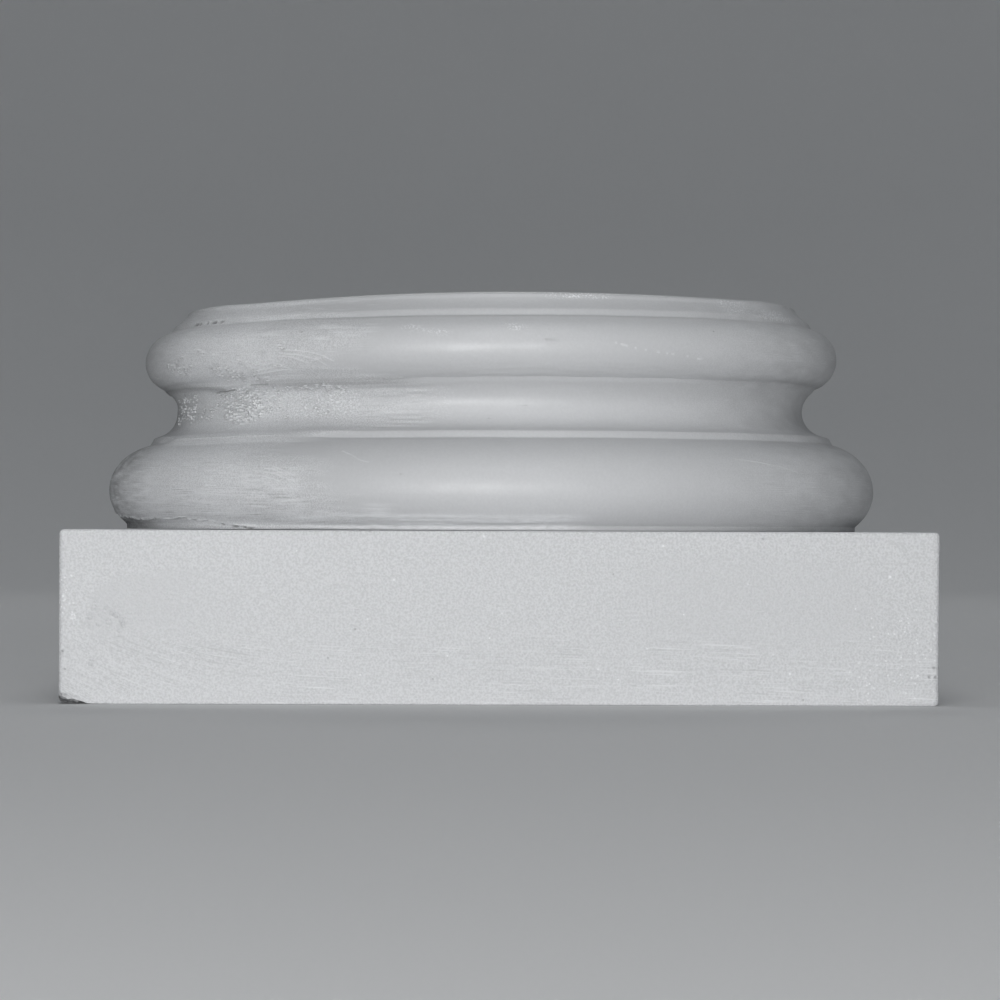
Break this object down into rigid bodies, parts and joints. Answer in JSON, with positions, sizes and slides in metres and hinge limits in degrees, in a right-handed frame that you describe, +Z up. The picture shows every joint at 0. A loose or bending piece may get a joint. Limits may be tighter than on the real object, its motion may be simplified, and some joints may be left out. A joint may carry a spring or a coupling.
{
  "type": "column base",
  "caption": "Attic column base: round moulding with two tori and a scotia between fillets, on a square plinth; carries a round shaft on its flat top.",
  "frame": {"origin": "middle of the plinth's underside", "axes": "+Z up along the column's axis; front face of the plinth, with the broken corner at its left, towards -Y"},
  "size_m": [0.4074, 0.4074, 0.1956],
  "materials": {
    "moulding_skin": "satin",
    "plinth_skin": "satin"
  },
  "bodies": {
    "root": {"base_moulding": "moulding_skin", "plinth": "plinth_skin"}
  },
  "joints": []
}
